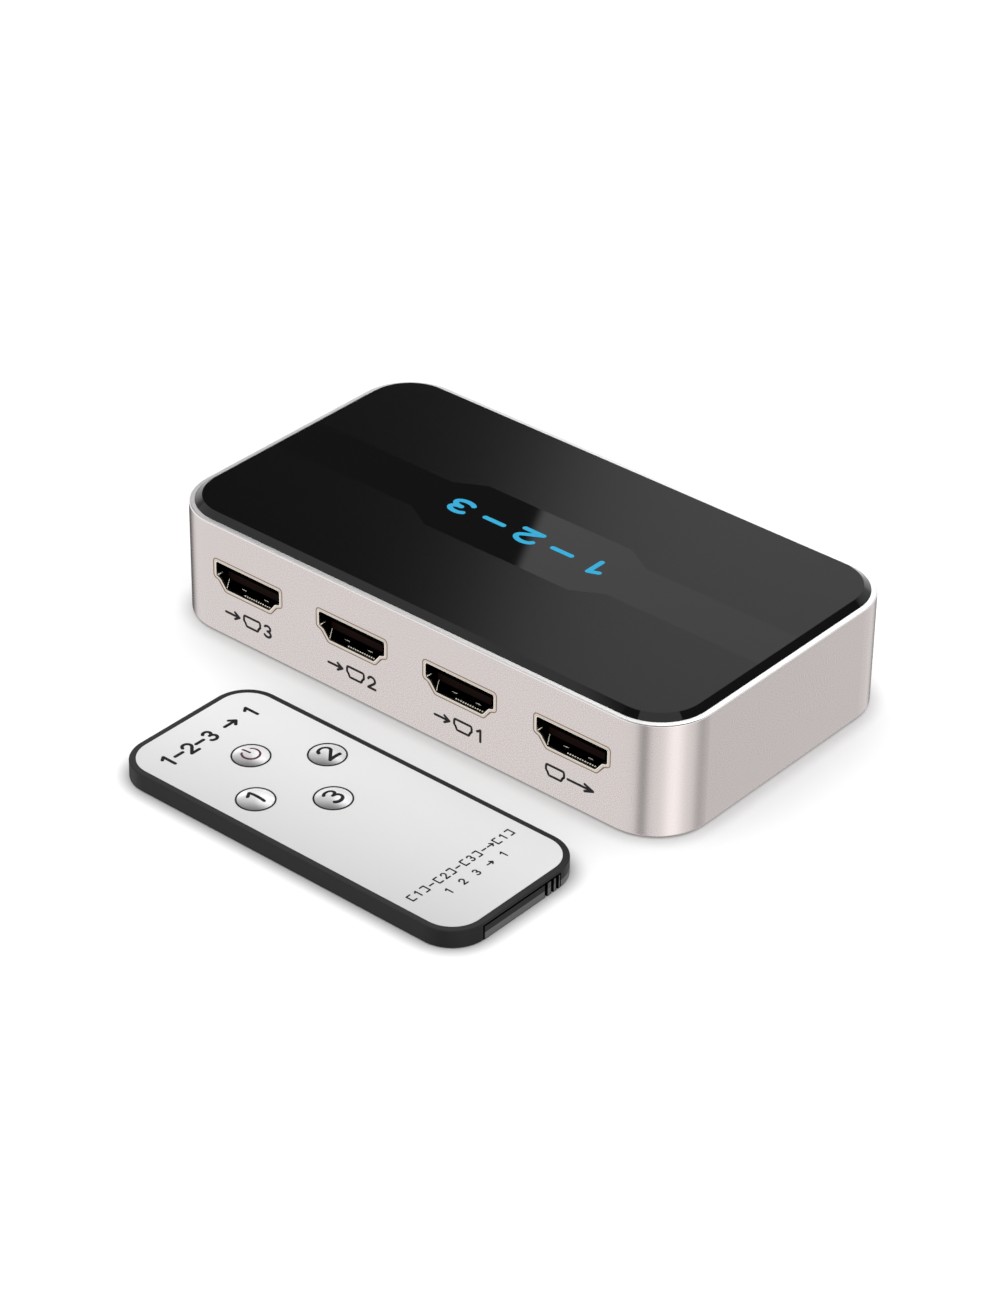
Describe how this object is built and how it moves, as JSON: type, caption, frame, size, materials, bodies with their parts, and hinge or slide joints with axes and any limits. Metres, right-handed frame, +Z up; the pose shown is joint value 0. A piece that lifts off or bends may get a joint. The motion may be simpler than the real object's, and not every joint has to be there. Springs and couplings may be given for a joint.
{
  "type": "video switch with remote",
  "caption": "Flat rounded metal box with a glossy black top and a row of video sockets along one side, and a thin card remote lying in front of it.",
  "frame": {"origin": "centre of the pair's footprint, on the surface that both lie on", "axes": "+X along the switch's length, +Z up, the sockets face -Y towards the remote"},
  "size_m": [0.105, 0.1, 0.0216],
  "materials": {
    "aluminium_shell": "fine satin anodised, warm silver",
    "black_gloss": "polished black acrylic",
    "tape": "thin foam tape",
    "black_plastic": "fine spark texture",
    "button_black": "semi-gloss moulded",
    "rubber": "soft matt",
    "steel": "plated",
    "board_green": "solder mask over glass laminate",
    "gold_shell": "gold flash over steel",
    "gold": "gold plated",
    "insulator_black": "moulded nylon",
    "chip_black": "moulded epoxy",
    "crystal_can": "drawn can",
    "capacitor_can": "drawn can",
    "clear_plastic": "clear acrylic",
    "lamp_white": "lamp package",
    "smoked_window": "smoked infrared-clear plastic",
    "jack_black": "moulded",
    "case_grey": "satin moulded",
    "tray_grey": "satin moulded",
    "plate_silver": "silver printed film, satin",
    "cap_silver": "glossy silver dome",
    "cell_steel": "nickel plated"
  },
  "bodies": {
    "switch": {"housing": "aluminium_shell", "top_panel": "black_gloss", "panel_tape": "tape", "base_plate": "black_plastic", "rubber_feet": "rubber", "base_screws": "steel", "board_screws": "steel", "main_board": "board_green", "switch_chip": "chip_black", "control_chip": "chip_black", "crystal": "crystal_can", "regulator": "chip_black", "capacitors": "capacitor_can", "select_switch": "black_plastic", "light_guide": "clear_plastic", "status_lamps": "lamp_white", "infrared_window": "smoked_window", "infrared_receiver": "chip_black", "power_jack": "jack_black", "power_jack_pin": "gold", "power_jack_spring": "gold", "socket_shell_in_3": "gold_shell", "socket_insulator_in_3": "insulator_black", "socket_contacts_in_3": "gold", "socket_shell_in_2": "gold_shell", "socket_insulator_in_2": "insulator_black", "socket_contacts_in_2": "gold", "socket_shell_in_1": "gold_shell", "socket_insulator_in_1": "insulator_black", "socket_contacts_in_1": "gold", "socket_shell_out": "gold_shell", "socket_insulator_out": "insulator_black", "socket_contacts_out": "gold"},
    "select_key": {"select_button": "button_black", "select_plunger": "black_plastic"},
    "remote": {"remote_case": "case_grey", "remote_faceplate": "plate_silver", "remote_board": "board_green", "snap_domes": "steel", "remote_chip": "chip_black", "remote_emitter": "clear_plastic", "remote_window": "smoked_window", "cell_contact_minus": "gold", "cell_contact_plus": "gold"},
    "cap_power": {"remote_button_power": "cap_silver"},
    "cap_1": {"remote_button_1": "cap_silver"},
    "cap_2": {"remote_button_2": "cap_silver"},
    "cap_3": {"remote_button_3": "cap_silver"},
    "tray": {"battery_tray": "tray_grey", "coin_cell": "cell_steel"},
    "latch": {"tray_latch": "tray_grey"}
  },
  "joints": [
    {"name": "select_press", "type": "slide", "parent": "switch", "child": "select_key", "axis": [0, -1, 0], "range_m": [0, 0.0004], "stiffness_N_per_m": 900, "springref_m": -0.0006},
    {"name": "remote_lift", "type": "slide", "parent": "switch", "child": "remote", "axis": [0, 0, 1], "range_m": [0, 0.06]},
    {"name": "press_power", "type": "slide", "parent": "remote", "child": "cap_power", "axis": [0, 0, -1], "range_m": [0, 0.00025], "stiffness_N_per_m": 1500, "springref_m": -0.0004},
    {"name": "press_1", "type": "slide", "parent": "remote", "child": "cap_1", "axis": [0, 0, -1], "range_m": [0, 0.00025], "stiffness_N_per_m": 1500, "springref_m": -0.0004},
    {"name": "press_2", "type": "slide", "parent": "remote", "child": "cap_2", "axis": [0, 0, -1], "range_m": [0, 0.00025], "stiffness_N_per_m": 1500, "springref_m": -0.0004},
    {"name": "press_3", "type": "slide", "parent": "remote", "child": "cap_3", "axis": [0, 0, -1], "range_m": [0, 0.00025], "stiffness_N_per_m": 1500, "springref_m": -0.0004},
    {"name": "tray_pull", "type": "slide", "parent": "remote", "child": "tray", "axis": [1, 0, 0], "range_m": [0, 0.0188]},
    {"name": "latch_squeeze", "type": "slide", "parent": "tray", "child": "latch", "axis": [0, -1, 0], "range_m": [0, 0.0004], "stiffness_N_per_m": 600, "springref_m": -0.0004}
  ]
}
